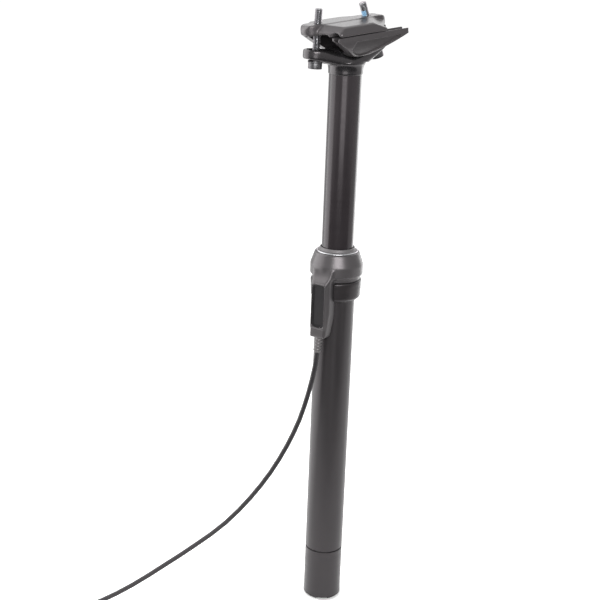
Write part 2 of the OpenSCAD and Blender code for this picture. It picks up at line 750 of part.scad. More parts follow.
// Forged head: spigot, flared neck, two ears and the concave rocking seat
module head() {
    neck_r = post_r + 0.7;
    flare_r = post_r + 2.2;
    flare_h = 10.5;
    lip_r = flare_r + 0.4;
    neck_sweep = 18;
    root_r = flare_r - 0.3;
    neck_end = 180 - acos(1 - (flare_r - neck_r) / neck_sweep);
    body_top = neck_z + 24;
    ear_z = neck_z + 12;
    color(black_gloss) difference() {
        union() {
            translate([0, 0, neck_z - spigot_len]) cylinder(r = post_bore_r, h = spigot_len + cut);
            rotate_extrude() polygon(concat(
                [[0, neck_z], [neck_r, neck_z], [neck_r, neck_z + 2]],
                arc(neck_r + neck_sweep, neck_z + 2, neck_sweep, 180, neck_end, 5),
                [[flare_r, neck_z + flare_h - 2.4], [lip_r, neck_z + flare_h - 1.8], [lip_r, neck_z + flare_h - 0.6],
                 [flare_r, neck_z + flare_h], [flare_r, ear_z + 2], [0, ear_z + 2]]
            ));
            hull() {
                at_front_bolt() translate([0, 0, -bolt_grip]) cylinder(r = ear_r, h = ear_t, $fn = 32);
                translate([0, 0, neck_z + flare_h]) cylinder(r = root_r, h = 4.5, $fn = 32);
            }
            hull() {
                at_rear_bolt() translate([0, 0, -bolt_grip]) cylinder(r = ear_r, h = ear_t, $fn = 32);
                translate([0, 0, neck_z + flare_h]) cylinder(r = root_r, h = 4.5, $fn = 32);
            }
            intersection() {
                translate([-15, -head_half, neck_z + flare_h]) cube([30, 2 * head_half, body_top - neck_z - flare_h]);
                translate([0, 0, neck_z]) cylinder(r = 16, h = 40);
            }
        }
        at_clamp() rotate([90, 0, 0]) cylinder(r = seat_r + 2 * slide_fit, h = 80, center = true);
        at_clamp() translate([-30, -40, -7]) cube([60, 80, 40]);
        at_front_bolt() ear_opening();
        at_rear_bolt() ear_opening();
        translate([0, 0, neck_z - spigot_len - cut]) cylinder(d = stud_d, h = stud_in + cut);
    }
}

// Gas spring body inside the post
module cartridge_body() {
    color(steel) translate([0, 0, cart_z0]) ring(cart_r, cart_bore_r, cart_z1 - cart_z0);
}

// Threaded gland that closes the cartridge and the post's lower end
module cartridge_seal_head() {
    gland_r = rod_r + 1.6;
    color(grey_dark) difference() {
        union() {
            translate([0, 0, post_z0]) cylinder(r = post_bore_r, h = flange_h);
            translate([0, 0, cart_z0]) cylinder(r = cart_bore_r, h = seal_head_h);
        }
        translate([0, 0, post_z0 - cut]) cylinder(r = rod_r + slide_fit, h = seal_head_h + flange_h + 2 * cut);
        translate([0, 0, cart_z0 + 4]) cylinder(r = gland_r, h = 3);
    }
}

module rod_seal() {
    color(rubber) translate([0, 0, cart_z0 + 4]) ring(rod_r + 1.6, rod_r + slide_fit, 3);
}

module top_out_bumper() {
    color(rubber) translate([0, 0, seal_head_top]) ring(cart_bore_r - 0.6, rod_r + 0.4, top_out_h);
}

// Cap that seals the gas end and screws up into the head's spigot
module cartridge_cap() {
    stud_z1 = neck_z - spigot_len + stud_in;
    color(grey_dark) {
        translate([0, 0, cart_z1 - cart_cap_h]) cylinder(r = cart_bore_r, h = cart_cap_h);
        translate([0, 0, cart_z1]) cylinder(r = cart_r, h = cart_cap_rim);
        translate([0, 0, cart_z1]) cylinder(d = stud_d, h = stud_z1 - cart_z1);
    }
}

// Floating piston between oil and gas
module floating_piston() {
    float_r = cart_bore_r - slide_fit;
    color(brass) translate([0, 0, float_z]) difference() {
        cylinder(r = float_r, h = float_h);
        translate([0, 0, (float_h - ring_h) / 2]) ring(float_r + cut, float_r - ring_depth, ring_h);
        translate([0, 0, 3]) cylinder(r = float_r - 3, h = float_h);
    }
}

module floating_piston_ring() {
    color(rubber) translate([0, 0, float_z + (float_h - ring_h) / 2])
        ring(cart_bore_r - slide_fit, cart_bore_r - slide_fit - ring_depth, ring_h);
}

// Section of the cradle: walls that curve in from the rails to the rocking floor
cradle_bow = 15;
cradle_bow_z = -3;

module cradle_section() {
    half = concat(
        [[cradle_out, 0]],
        arc(cradle_out - cradle_bow, cradle_bow_z, cradle_bow, 0, -80, 8),
        [[head_half + 1, -seat_r - 1]]
    );
    polygon(concat(half, [for (i = [len(half) - 1:-1:0]) [-half[i][0], half[i][1]]]));
}

// Space between the cradle's walls
module trough_section() {
    inner_top = rail_y - rail_r - 1.6;
    inner_low = head_half + 0.6;
    half = [[inner_top, 1], [inner_top, -3], [head_half + 2.4, -seat_r + 6.5], [inner_low, -seat_r + 4],
            [inner_low, -seat_r - 2]];
    polygon(concat(half, [for (i = [len(half) - 1:-1:0]) [-half[i][0], half[i][1]]]));
}

// Side outline of a cradle wall: round belly, rising tail and swept front edge
module cradle_side() {
    polygon(concat(
        [[cradle_front, 0], [cradle_tail, 0], [cradle_tail, -tail_t]],
        arc(0, 0, seat_r - 0.6, -66, -132, 8),
        [[cradle_front, -2.5]]
    ));
}

// Pocket in the outer face of a cradle wall, which follows the belly and runs out along the tail
module pocket_side() {
    rim = 1.5;
    top = -4.1;
    belly = seat_r - 0.6 - rim;
    polygon(concat(
        [[-7.6, top], [cradle_tail - 6.4, top], [cradle_tail - 5.8, top - 0.5]],
        arc(0, 0, belly, -66, -128, 8),
        [[-11.9, -belly + 5.9], [-11.5, -belly + 7], [-8.6, top - 0.6]]
    ));
}

// Sized along the rails, standing on the Y axis
module along_rails(length) {
    rotate([90, 0, 90]) linear_extrude(length) children();
}

module across_rails(width) {
    rotate([90, 0, 0]) linear_extrude(width, center = true) children();
}

// Lower cradle: two rail walls with pockets, joined by the rocking floor
module lower_cradle() {
    length = cradle_tail - cradle_front;
    floor_z = -seat_r + 5;
    pocket_depth = 1.1;
    color(black_satin) at_clamp() difference() {
        union() {
            intersection() {
                translate([cradle_front, 0, 0]) along_rails(length) difference() {
                    cradle_section();
                    trough_section();
                }
                across_rails(4 * cradle_out) cradle_side();
            }
            intersection() {
                rotate([90, 0, 0]) cylinder(r = seat_r, h = 2 * head_half + 2, center = true);
                translate([-seat_r, -head_half - 1, -seat_r - cut])
                    cube([2 * seat_r, 2 * head_half + 2, floor_z + seat_r + cut]);
            }
        }
        for (side = [-1, 1])
            translate([cradle_front - cut, side * rail_y, 0]) rotate([0, 90, 0])
                cylinder(r = rail_r, h = length + 2 * cut);
        for (side = [0, 1]) mirror([0, side, 0]) intersection() {
            across_rails(4 * cradle_out) pocket_side();
            translate([cradle_front - cut, 0, 0]) along_rails(length + 2 * cut) polygon(concat(
                arc(cradle_out - cradle_bow, cradle_bow_z, cradle_bow - pocket_depth, 6, -84, 9),
                [[head_half, -2 * seat_r], [2 * cradle_out, -2 * seat_r], [2 * cradle_out, 0]]
            ));
        }
    }
}

// Section of the top clamp: flat ridge, broad wings and a hood over each rail
module clamp_section() {
    half = [[5, ridge_z - 0.3], [rail_y + 1.4, ridge_z - 1.8], [rail_y + 3.4, ridge_z - 2.8],
            [hood_out, 2.2], [hood_out, parting], [rail_y - rail_r - 1.8, parting], [rail_y - rail_r - 2.6, 2]];
    polygon(concat(half, [for (i = [len(half) - 1:-1:0]) [-half[i][0], half[i][1]]]));
}

module clamp_plan() {
    half = [[-32, 0], [-31, bar_w / 2], [-22.5, hood_out - 1.2], [-20.5, hood_out + 1], [16.5, hood_out + 1],
            [18.8, hood_out - 0.7], [28.4, bar_w / 2 - 2], [29, 0]];
    polygon(concat(half, [for (i = [len(half) - 2:-1:1]) [half[i][0], -half[i][1]]]));
}

// Space above a sloping facet through a point
module above_facet(point, turn, tilt) {
    translate(point) rotate([0, 0, turn]) rotate([0, tilt, 0]) translate([-40, -60, 0]) cube([80, 120, 40]);
}

// Wings with a facet down to the front and to the rear on each side
module clamp_wings() {
    difference() {
        intersection() {
            translate([clamp_front, 0, 0]) along_rails(clamp_rear - clamp_front) clamp_section();
            translate([0, 0, -cut]) linear_extrude(ridge_z + 2 * cut) clamp_plan();
        }
        for (side = [0, 1]) mirror([0, side, 0]) {
            above_facet([-31, -bar_w / 2, 4.2], 209.5, 39);
            above_facet([28.4, 2 - bar_w / 2, 4.8], -38, 27);
        }
    }
}

// Bar along the rails with round noses, which takes both bolts
module clamp_bar() {
    nose_r = bar_w / 2;
    bar_z = ridge_z - bar_t;
    intersection() {
        translate([0, 0, bar_z - cut]) linear_extrude(bar_t + 2 * cut) polygon(concat(
            arc(clamp_front + nose_r, 0, nose_r, 90, 270, 16),
            arc(clamp_rear - nose_r, 0, nose_r, -90, 90, 16)
        ));
        across_rails(2 * bar_w) polygon(concat(
            arc(clamp_front + 2.8, bar_z + 2.8, 2.8, 270, 180, 5),
            arc(clamp_front + 5, ridge_z - 5, 5, 180, 90, 6),
            arc(clamp_rear - 6, ridge_z - 6, 6, 90, 10, 6),
            [[clamp_rear, bar_z + 2], [clamp_rear - 2, bar_z]]
        ));
    }
}

module top_clamp() {
    length = clamp_rear - clamp_front;
    color(grey_dark) at_clamp() difference() {
        union() {
            clamp_bar();
            clamp_wings();
        }
        for (side = [-1, 1])
            translate([clamp_front, side * rail_y, 0]) rotate([0, 90, 0]) cylinder(r = rail_r, h = length);
        translate([front_bolt_x, 0, ridge_z]) rotate([0, front_splay, 0])
            cylinder(d = bolt_d + 2 * slide_fit, h = 4 * bar_t, center = true);
        translate([rear_bolt_x, 0, ridge_z]) rotate([0, -rear_splay, 0])
            cylinder(d = bolt_d + 2 * slide_fit, h = 4 * bar_t, center = true);
    }
}

// Socket-head bolt in its own frame, thread up, with z = 0 at the clamp's ridge
module clamp_bolt() {
    head_z = -bolt_grip - washer_gap - washer_t - bolt_head_h;
    hex_af = 5;
    hex_depth = 2.6;
    color(steel) difference() {
        union() {
            translate([0, 0, head_z + cut]) cylinder(d = bolt_d, h = bolt_out - head_z - cut - 0.8);
            translate([0, 0, bolt_out - 0.8]) cylinder(d1 = bolt_d, d2 = bolt_d - 1.4, h = 0.8);
            translate([0, 0, head_z]) cylinder(d = bolt_head_d, h = bolt_head_h);
        }
        translate([0, 0, head_z - cut]) cylinder(d = hex_af / cos(30), h = hex_depth + cut, $fn = 6);
    }
}

// Washer with a flat under side and a rounded upper side that rolls on the ear
module rocking_washer() {
    top_z = -bolt_grip - washer_gap;
    color(steel) difference() {
        intersection() {
            translate([0, 0, top_z - washer_t]) cylinder(d = washer_d, h = washer_t);
            translate([0, 0, top_z - washer_r]) rotate([90, 0, 0])
                cylinder(r = washer_r, h = 2 * washer_d, center = true, $fn = 128);
        }
        translate([0, 0, top_z - washer_t - cut]) cylinder(d = bolt_d, h = washer_t + 2 * cut);
    }
}

module front_bolt() {
    at_front_bolt() clamp_bolt();
}

module rear_bolt() {
    at_rear_bolt() clamp_bolt();
}

module front_washer() {
    at_front_bolt() rocking_washer();
}

module rear_washer() {
    at_rear_bolt() rocking_washer();
}

// Free run of the cable from the boot down to the floor
module remote_cable_run() {
    straight = boot_end + cable_d * (sin(boot_lean) * run_dir - [0, 0, cos(boot_lean)]);
    route = concat(
        [boot_end, straight],
        [for (q = run_points) boot_foot + q[0] * run_dir + [0, 0, q[1]]],
        [coil_start - cable_d * run_dir, coil_start]
    );
    color(rubber) tube_along(route, cable_r, 10, run_side);
}

// Centre line of the coil, counted in steps round it from the lead-in
function coil_point(i) =
    let (
        turns = i / coil_steps,
        r = coil_in + coil_pitch * abs(turns - layer_turns),
        climb = min(1, max(0, (turns - layer_turns) * 2 + 0.5)),
        a = coil_angle + 360 * turns - 180
    )
    coil_centre + [-r * cos(a), -r * sin(a), coil_pitch * climb * climb * (3 - 2 * climb)];

coil_last = coil_turns * coil_steps;
coil_turn_points = [for (i = [0:coil_last]) coil_point(i)];
coil_tail_dir = [-sin(coil_angle + 360 * coil_turns), cos(coil_angle + 360 * coil_turns), 0];
coil_end = coil_point(coil_last) + coil_lead * coil_tail_dir;
coil_route = concat(
    [coil_start, coil_start + cable_d * run_dir],
    coil_turn_points,
    [coil_end - cable_d * coil_tail_dir, coil_end]
);

// Least gap between one turn of the coil and another, measured on its points
coil_far = coil_steps / 2;
coil_least_gap = min([for (i = [0:len(coil_route) - 1], k = [i + coil_far:1:len(coil_route) - 1])
    norm(coil_route[i] - coil_route[k])]) - cable_d;
echo(coil_least_gap = coil_least_gap);

module remote_cable_coil() {
    color(rubber) tube_along(coil_route, cable_r, 6, [0, 0, 1]);
}

// Strap that holds the coil's turns together
module coil_tie() {
    strap_w = 6;
    slack = 0.5;
    inner_0 = coil_in - cable_r - slack;
    inner_1 = coil_out - coil_pitch / 2 + cable_r + slack;
    inner_h = coil_z + coil_pitch + cable_r + slack - tie_t;
    color(rubber) translate([coil_centre[0], coil_centre[1], 0]) rotate([0, 0, coil_angle + 360 * layer_turns])
        difference() {
            translate([inner_0 - tie_t, -strap_w / 2, 0])
                cube([inner_1 - inner_0 + 2 * tie_t, strap_w, inner_h + 2 * tie_t]);
            translate([inner_0, -strap_w, tie_t]) cube([inner_1 - inner_0, 2 * strap_w, inner_h]);
        }
}

// Metal end sleeve of the casing, the bare inner wire and its crimped tip
module at_cable_end(along) {
    translate(coil_end + along * coil_tail_dir)
        rotate([0, 0, coil_angle + 360 * coil_turns + 90]) rotate([0, 90, 0]) children();
}

ferrule_len = 12;
ferrule_d = cable_d + 1;
tail_len = 16;
tip_len = 8;

module cable_ferrule() {
    color(steel) at_cable_end(0) {
        cylinder(d = ferrule_d, h = ferrule_len - 2, $fn = 32);
        cylinder(d = ferrule_d - 1.4, h = ferrule_len, $fn = 32);
    }
}

module inner_wire_tail() {
    color(steel) at_cable_end(ferrule_len) cylinder(d = inner_wire_d, h = tail_len, $fn = 24);
}

module wire_end_cap() {
    color(steel) at_cable_end(ferrule_len + tail_len) cylinder(d = inner_wire_d + 0.8, h = tip_len, $fn = 24);
}

outer_tube();
end_cap();
base_plug();
rod_nut();
piston_rod();
piston();
piston_ring();
bottom_bumper();
actuator_housing();
housing_cover();
lower_collar();
upper_bushing();
foam_ring();
wiper_seal();
seal_retaining_ring();
lever_pivot_pin();
lever_return_spring();
rocker_pin();
cable_boot();
stanchion();
head();
cartridge_body();
cartridge_seal_head();
rod_seal();
top_out_bumper();
cartridge_cap();
guide_keys();
lower_bushing();
floating_piston();
floating_piston_ring();
actuator_lever();
release_wire();
link_wire();
base_rocker();
valve_pin();
lower_cradle();
top_clamp();
front_bolt();
front_washer();
rear_bolt();
rear_washer();
remote_cable_run();
remote_cable_coil();
coil_tie();
cable_ferrule();
inner_wire_tail();
wire_end_cap();
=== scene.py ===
import bpy
import math
from mathutils import Matrix, Vector


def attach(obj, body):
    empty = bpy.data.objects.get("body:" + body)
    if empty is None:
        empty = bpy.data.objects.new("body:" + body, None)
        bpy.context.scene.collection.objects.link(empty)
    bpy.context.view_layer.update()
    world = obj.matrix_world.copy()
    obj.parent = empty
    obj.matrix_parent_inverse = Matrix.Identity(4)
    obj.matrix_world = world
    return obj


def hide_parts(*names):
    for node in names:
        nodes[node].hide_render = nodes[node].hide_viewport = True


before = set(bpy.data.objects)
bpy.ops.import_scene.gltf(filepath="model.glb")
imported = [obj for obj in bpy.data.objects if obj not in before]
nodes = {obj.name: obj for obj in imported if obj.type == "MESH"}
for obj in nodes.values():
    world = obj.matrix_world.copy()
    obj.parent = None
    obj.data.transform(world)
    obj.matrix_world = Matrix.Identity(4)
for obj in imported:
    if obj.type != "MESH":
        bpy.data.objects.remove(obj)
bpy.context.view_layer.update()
scene = bpy.context.scene
scene.view_settings.view_transform = "Standard"
bpy.ops.object.select_all(action="DESELECT")

# Studio: the photograph's camera, a pale floor that runs past the frame, and soft lamps.
# The lens is 75 mm on a 36 mm square sensor, 17 degrees down and rolled by 2 degrees.
camera_data = bpy.data.cameras.new("photo_camera")
camera_data.lens = 75
camera_data.sensor_width = 36
camera_data.clip_end = 100
camera = bpy.data.objects.new("photo_camera", camera_data)
scene.collection.objects.link(camera)
camera_right = Vector((0.8638, -0.5025, 0.0359)).normalized()
camera_back = Vector((-0.4892, -0.8198, 0.2976)).normalized()
camera_up = camera_back.cross(camera_right).normalized()
camera_right = camera_up.cross(camera_back)
turn = Matrix((camera_right, camera_up, camera_back)).transposed().to_4x4()
camera_place = Vector((-0.51138, -0.80270, 0.55684))
camera.matrix_world = Matrix.Translation(camera_place) @ turn
scene.camera = camera


def white_to_view(tree, lit, white):
    """One value for rays that look at the background, another for light that falls on the object."""
    path = tree.nodes.new("ShaderNodeLightPath")
    seen = tree.nodes.new("ShaderNodeMath")
    seen.operation = "MAXIMUM"
    tree.links.new(path.outputs["Is Camera Ray"], seen.inputs[0])
    tree.links.new(path.outputs["Is Glossy Ray"], seen.inputs[1])
    seen_all = tree.nodes.new("ShaderNodeMath")
    seen_all.operation = "MAXIMUM"
    tree.links.new(seen.outputs[0], seen_all.inputs[0])
    tree.links.new(path.outputs["Is Transmission Ray"], seen_all.inputs[1])
    strength = tree.nodes.new("ShaderNodeMapRange")
    strength.inputs["To Min"].default_value = lit
    strength.inputs["To Max"].default_value = white
    tree.links.new(seen_all.outputs[0], strength.inputs["Value"])
    return strength.outputs["Result"]


world = bpy.data.worlds.new("studio")
scene.world = world
world.use_nodes = True
background = world.node_tree.nodes["Background"]
background.inputs["Color"].default_value = (1, 1, 1, 1)
world.node_tree.links.new(white_to_view(world.node_tree, 0.4, 1.0), background.inputs["Strength"])

bpy.ops.mesh.primitive_plane_add(size=60, location=(0, 0, -0.0004))
floor = bpy.context.object
floor.name = "studio_floor"
floor_paint = bpy.data.materials.new("studio_floor")
floor_paint.use_nodes = True
floor_tree = floor_paint.node_tree
floor_shader = floor_tree.nodes["Principled BSDF"]
floor_shader.inputs["Base Color"].default_value = (0.82, 0.82, 0.82, 1)
floor_shader.inputs["Roughness"].default_value = 0.9
floor_shader.inputs["Specular IOR Level"].default_value = 0.1
floor_shader.inputs["Emission Color"].default_value = (1, 1, 1, 1)
# Painted contact shadow: the floor's glow for camera and reflection rays is dimmed by ambient occlusion
# within 6 mm of the object, cubed, so the ground under the cap and inside its tool slot reads dark.
painted_shadow_ao = floor_tree.nodes.new("ShaderNodeAmbientOcclusion")
painted_shadow_ao.inputs["Distance"].default_value = 0.006
painted_shadow_deep = floor_tree.nodes.new("ShaderNodeMath")
painted_shadow_deep.operation = "POWER"
painted_shadow_deep.inputs[1].default_value = 3
floor_tree.links.new(painted_shadow_ao.outputs["AO"], painted_shadow_deep.inputs[0])
painted_shadow_glow = floor_tree.nodes.new("ShaderNodeMath")
painted_shadow_glow.operation = "MULTIPLY"
floor_tree.links.new(white_to_view(floor_tree, 0.0, 0.7), painted_shadow_glow.inputs[0])
floor_tree.links.new(painted_shadow_deep.outputs[0], painted_shadow_glow.inputs[1])
floor_tree.links.new(painted_shadow_glow.outputs[0], floor_shader.inputs["Emission Strength"])
floor.data.materials.append(floor_paint)


def soft_lamp(name, place, target, width, height, watts):
    """Rectangular soft box that looks at a point of the object."""
    lamp_data = bpy.data.lights.new(name, "AREA")
    lamp_data.shape = "RECTANGLE"
    lamp_data.size = width
    lamp_data.size_y = height
    lamp_data.energy = watts
    lamp = bpy.data.objects.new(name, lamp_data)
    scene.collection.objects.link(lamp)
    aim = Vector(target) - Vector(place)
    lamp.rotation_euler = aim.to_track_quat("-Z", "Y").to_euler()
    lamp.location = place


floor_front = Vector((camera_back.x, camera_back.y, 0)).normalized()
floor_right = Vector((-floor_front.y, floor_front.x, 0))


def beside(front, right, height):
    """Point on the studio floor's own axes: towards the camera, to its right, and up."""
    return front * floor_front + right * floor_right + Vector((0, 0, height))


# Dark card in front of the object, which only its reflections show.
bpy.ops.mesh.primitive_plane_add(size=1, location=beside(1.3, 0.1, -0.0002))
dark_card = bpy.context.object
dark_card.name = "dark_card"
dark_card.scale = (2.1, 3.0, 1)
dark_card.rotation_euler = (0, 0, math.atan2(floor_front.y, floor_front.x))
card_paint = bpy.data.materials.new("dark_card")
card_paint.use_nodes = True
card_shader = card_paint.node_tree.nodes["Principled BSDF"]
card_shader.inputs["Base Color"].default_value = (0.02, 0.02, 0.02, 1)
card_shader.inputs["Roughness"].default_value = 0.9
dark_card.data.materials.append(card_paint)
dark_card.visible_camera = False
dark_card.visible_diffuse = False
dark_card.visible_shadow = False

soft_lamp("left_strip", beside(-0.08, -0.61, 0.5), (0, 0, 0.3), 0.7, 1.2, 9)
soft_lamp("right_strip", beside(-0.5, 0.4, 0.5), (0, 0, 0.3), 0.3, 1.2, 2.6)
soft_lamp("crown_box", beside(1.2, 0.13, 0.8), (0, 0, 0.3), 0.9, 0.3, 20)
soft_lamp("streak_box", beside(0.88, -0.04, 0.31), (0, 0, 0.42), 0.5, 0.2, 1.5)
soft_lamp("back_box", beside(-1.2, 0, 1.1), (0, 0, 0.45), 1.2, 0.7, 4)
soft_lamp("top_box", beside(-0.2, -0.1, 1.8), (0, 0, 0.3), 1.0, 0.8, 5)

# Release cable: black extruded casing over a steel wire, out of the boot, down to the floor
# and away to the left; the length that the photograph leaves out lies coiled past its edge.
mm = 0.001


def eased(value, low, high):
    """Smooth step from 0 at the low value to 1 at the high one."""
    part = min(1, max(0, (value - low) / (high - low)))
    return part * part * (3 - 2 * part)


def grain_group():
    """Noise on the piece's own coordinates, stretched along the way the surface was worked."""
    group = bpy.data.node_groups.new("worked_grain", "ShaderNodeTree")
    group.interface.new_socket("Stretch", in_out="INPUT", socket_type="NodeSocketVector")
    group.interface.new_socket("Scale", in_out="INPUT", socket_type="NodeSocketFloat")
    group.interface.new_socket("Detail", in_out="INPUT", socket_type="NodeSocketFloat")
    group.interface.new_socket("Grain", in_out="OUTPUT", socket_type="NodeSocketFloat")
    group.interface.new_socket("Cloud", in_out="OUTPUT", socket_type="NodeSocketFloat")
    inner = group.nodes.new("NodeGroupInput")
    outer = group.nodes.new("NodeGroupOutput")
    place = group.nodes.new("ShaderNodeTexCoord")
    stretch = group.nodes.new("ShaderNodeVectorMath")
    stretch.operation = "MULTIPLY"
    group.links.new(place.outputs["Object"], stretch.inputs[0])
    group.links.new(inner.outputs["Stretch"], stretch.inputs[1])
    fine = group.nodes.new("ShaderNodeTexNoise")
    group.links.new(stretch.outputs[0], fine.inputs["Vector"])
    group.links.new(inner.outputs["Scale"], fine.inputs["Scale"])
    group.links.new(inner.outputs["Detail"], fine.inputs["Detail"])
    cloud = group.nodes.new("ShaderNodeTexNoise")
    cloud.inputs["Scale"].default_value = 38
    cloud.inputs["Detail"].default_value = 3
    group.links.new(place.outputs["Object"], cloud.inputs["Vector"])
    group.links.new(fine.outputs["Fac"], outer.inputs["Grain"])
    group.links.new(cloud.outputs["Fac"], outer.inputs["Cloud"])
    return group


worked_grain = grain_group()


def finish(name, dark, light, smooth, rough, scale, stretch, depth, shine=0.5, metal=0.0, detail=4.0):
    """Worked surface: two tones, changing gloss and a shallow bump, all from the worked grain."""
    paint = bpy.data.materials.new(name)
    paint.use_nodes = True
    tree = paint.node_tree
    shader = tree.nodes["Principled BSDF"]
    shader.inputs["Metallic"].default_value = metal
    shader.inputs["Specular IOR Level"].default_value = shine
    shader.inputs["Specular Tint"].default_value = (1, 0.93, 0.96, 1)
    grain = tree.nodes.new("ShaderNodeGroup")
    grain.node_tree = worked_grain
    grain.name = "grain"
    grain.inputs["Stretch"].default_value = stretch
    grain.inputs["Scale"].default_value = scale
    grain.inputs["Detail"].default_value = detail
    tone = tree.nodes.new("ShaderNodeMix")
    tone.data_type = "RGBA"
    tone.name = "tone"
    tone.inputs["A"].default_value = (*dark, 1)
    tone.inputs["B"].default_value = (*light, 1)
    tree.links.new(grain.outputs["Cloud"], tone.inputs["Factor"])
    tree.links.new(tone.outputs["Result"], shader.inputs["Base Color"])
    gloss = tree.nodes.new("ShaderNodeMapRange")
    gloss.name = "gloss"
    gloss.inputs["From Min"].default_value = 0.3
    gloss.inputs["From Max"].default_value = 0.7
    gloss.inputs["To Min"].default_value = smooth
    gloss.inputs["To Max"].default_value = rough
    tree.links.new(grain.outputs["Grain"], gloss.inputs["Value"])
    tree.links.new(gloss.outputs["Result"], shader.inputs["Roughness"])
    bump = tree.nodes.new("ShaderNodeBump")
    bump.name = "bump"
    bump.inputs["Strength"].default_value = 1.0
    bump.inputs["Distance"].default_value = depth
    tree.links.new(grain.outputs["Grain"], bump.inputs["Height"])
    tree.links.new(bump.outputs["Normal"], shader.inputs["Normal"])
    return paint


def dress(paint, *names):
    """Gives one finish to carried-over nodes of the frame."""
    for name in names:
        node_mesh = nodes[name].data
        node_mesh.materials.clear()
        node_mesh.materials.append(paint)


casing_black = finish(
    "casing_black", (0.006, 0.006, 0.007), (0.012, 0.012, 0.013), 0.28, 0.42, 900, (1, 1, 1), 0.00002,
    shine=0.4,
)
boot_end = Vector((-20.512, -9.190, 223.581)) * mm
run_turn = math.radians(160)
run_dir = Vector((math.cos(run_turn), math.sin(run_turn), 0))
run_side = Vector((-math.sin(run_turn), math.cos(run_turn), 0))
boot_lean = math.radians(6)
cable_d = 4 * mm
run_steps = [
    (1, 212), (3, 200.5), (5.5, 189), (8.5, 177.5), (12, 166), (16.5, 154.5), (21.5, 143.5),
    (27.5, 132), (34, 121), (41.5, 110), (50, 99), (59.5, 88), (70, 77.5), (81.5, 68), (94, 59),
    (107, 50), (120, 41.5), (133, 33), (146, 25), (159, 18), (172, 12), (185, 7.5), (198, 4.5),
    (209, 3.2),
]
boot_foot = Vector((boot_end.x, boot_end.y, 0))
exit_dir = math.sin(boot_lean) * run_dir - Vector((0, 0, math.cos(boot_lean)))
cable_points = [boot_end, boot_end + cable_d * exit_dir]
cable_points += [boot_foot + out * mm * run_dir + Vector((0, 0, up * mm)) for out, up in run_steps]
coil_z = 2.8 * mm
run_reach = 220 * mm
coil_start = boot_foot + run_reach * run_dir + Vector((0, 0, coil_z))
coil_out = 32 * mm
coil_pitch = 4.5 * mm
coil_turns = 7
half_turns = coil_turns / 2
coil_lead = 6 * mm
coil_centre = coil_start + coil_lead * run_dir + coil_out * run_side
coil_angle = math.radians(70)
steps_per_turn = 24
cable_points += [coil_start - cable_d * run_dir, coil_start, coil_start + cable_d * run_dir]
for step in range(coil_turns * steps_per_turn + 1):
    turns = step / steps_per_turn
    radius = coil_out - coil_pitch * half_turns + coil_pitch * abs(turns - half_turns)
    angle = coil_angle + 2 * math.pi * turns - math.pi
    rise = coil_pitch * eased(turns, half_turns - 0.25, half_turns + 0.25)
    cable_points.append(coil_centre + Vector((-radius * math.cos(angle), -radius * math.sin(angle), rise)))
tail_angle = coil_angle + 2 * math.pi * coil_turns
tail_dir = Vector((-math.sin(tail_angle), math.cos(tail_angle), 0))
coil_end = cable_points[-1] + coil_lead * tail_dir
cable_points += [coil_end - cable_d * tail_dir, coil_end]

casing_curve = bpy.data.curves.new("release_cable", "CURVE")
casing_curve.dimensions = "3D"
casing_curve.bevel_depth = cable_d / 2
casing_curve.bevel_resolution = 5
casing_curve.use_fill_caps = True
casing_line = casing_curve.splines.new("POLY")
casing_line.points.add(len(cable_points) - 1)
for spot, point in zip(casing_line.points, cable_points):
    spot.co = (*point, 1)
casing_curve.materials.append(casing_black)
release_cable = bpy.data.objects.new("release_cable", casing_curve)
scene.collection.objects.link(release_cable)
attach(release_cable, "base")
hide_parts("remote_cable_run", "remote_cable_coil")

# Cable fittings: a nylon strap round the coil, a turned ferrule on the casing's end,
# the bare stranded wire and its crimped tip.
strap_nylon = finish(
    "strap_nylon", (0.010, 0.010, 0.011), (0.018, 0.018, 0.019), 0.4, 0.55, 600, (1, 1, 6), 0.00003,
)
fitting_alloy = finish(
    "fitting_alloy", (0.50, 0.50, 0.52), (0.62, 0.62, 0.64), 0.26, 0.4, 500, (1, 1, 6), 0.00001, metal=1.0,
)
ground_steel = finish(
    "ground_steel", (0.46, 0.46, 0.48), (0.60, 0.60, 0.62), 0.18, 0.32, 700, (1, 1, 8), 0.00001, metal=1.0,
)
dress(strap_nylon, "coil_tie")
dress(fitting_alloy, "cable_ferrule", "wire_end_cap")
dress(ground_steel, "inner_wire_tail")

# Lower tube and end cap: drawn and turned aluminium, black anodised to a satin sheen. The cap closes
# the tube's foot and carries a tool slot on each side of its rim; the tube's wall has a groove for
# each anti-turn key and for the link wire, and a window for the release lever.
satin_dark = (0.008, 0.0072, 0.0077)
satin_light = (0.012, 0.0108, 0.0115)
tube_black = finish(
    "tube_black", satin_dark, satin_light, 0.33, 0.43, 420, (1, 1, 0.03), 0.000006, shine=0.4,
)
cap_black_seam_shade = finish(
    "cap_black_seam_shade", satin_dark, satin_light, 0.33, 0.43, 420, (0.05, 0.05, 1), 0.000006, shine=0.4,
)
# The end cap's black is its own anodised colour; the base plug, which shows through the 1 mm seam under the
# tube, gets the same black as painted shade in that gap.
dress(cap_black_seam_shade, "end_cap", "base_plug")
weld_gap = 0.002 * mm


